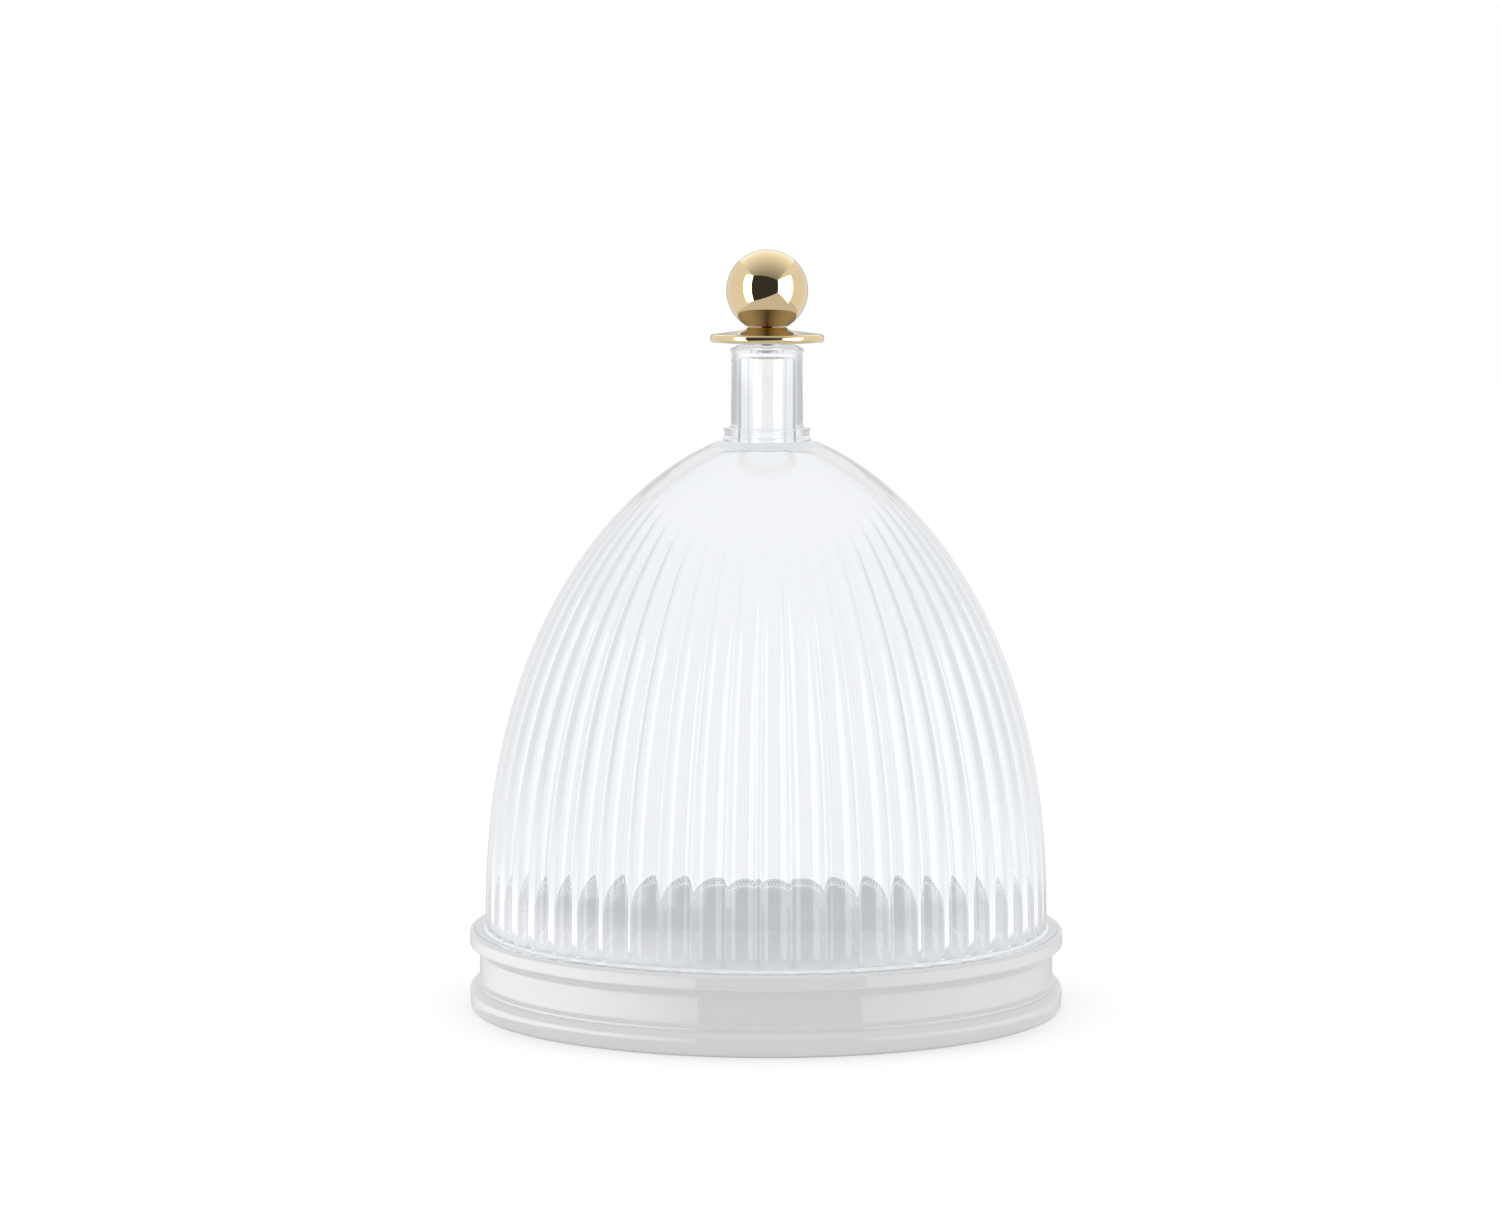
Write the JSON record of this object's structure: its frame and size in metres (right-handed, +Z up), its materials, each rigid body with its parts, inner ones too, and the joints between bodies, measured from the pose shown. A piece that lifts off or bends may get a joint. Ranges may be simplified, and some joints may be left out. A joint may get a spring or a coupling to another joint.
{
  "type": "serving cloche",
  "caption": "Clear fluted dome with a flanged column handle, gold collar and ball knob, lifting off a round white moulded tray base.",
  "frame": {"origin": "middle of the base's underside, on the surface that it stands on", "axes": "+Z up along the turning axis; -Y towards the picture's viewer"},
  "size_m": [0.22, 0.22, 0.2797],
  "materials": {
    "white_gloss": "glossy white moulding",
    "clear_acrylic": "polished clear moulding",
    "nickel_plate": "bright nickel plate on turned brass",
    "stud_steel": "rolled thread, zinc plated",
    "gold_plate": "polished pale gold plate"
  },
  "bodies": {
    "base": {"base_tray": "white_gloss"},
    "lid": {"dome": "clear_acrylic", "handle_column": "clear_acrylic", "bore_plug": "clear_acrylic", "thread_insert": "nickel_plate", "knob_stud": "stud_steel", "collar_disc": "gold_plate", "ball_knob": "gold_plate"}
  },
  "joints": [
    {"name": "dome_lift", "type": "slide", "parent": "base", "child": "lid", "axis": [0, 0, 1], "range_m": [0, 0.2]}
  ]
}
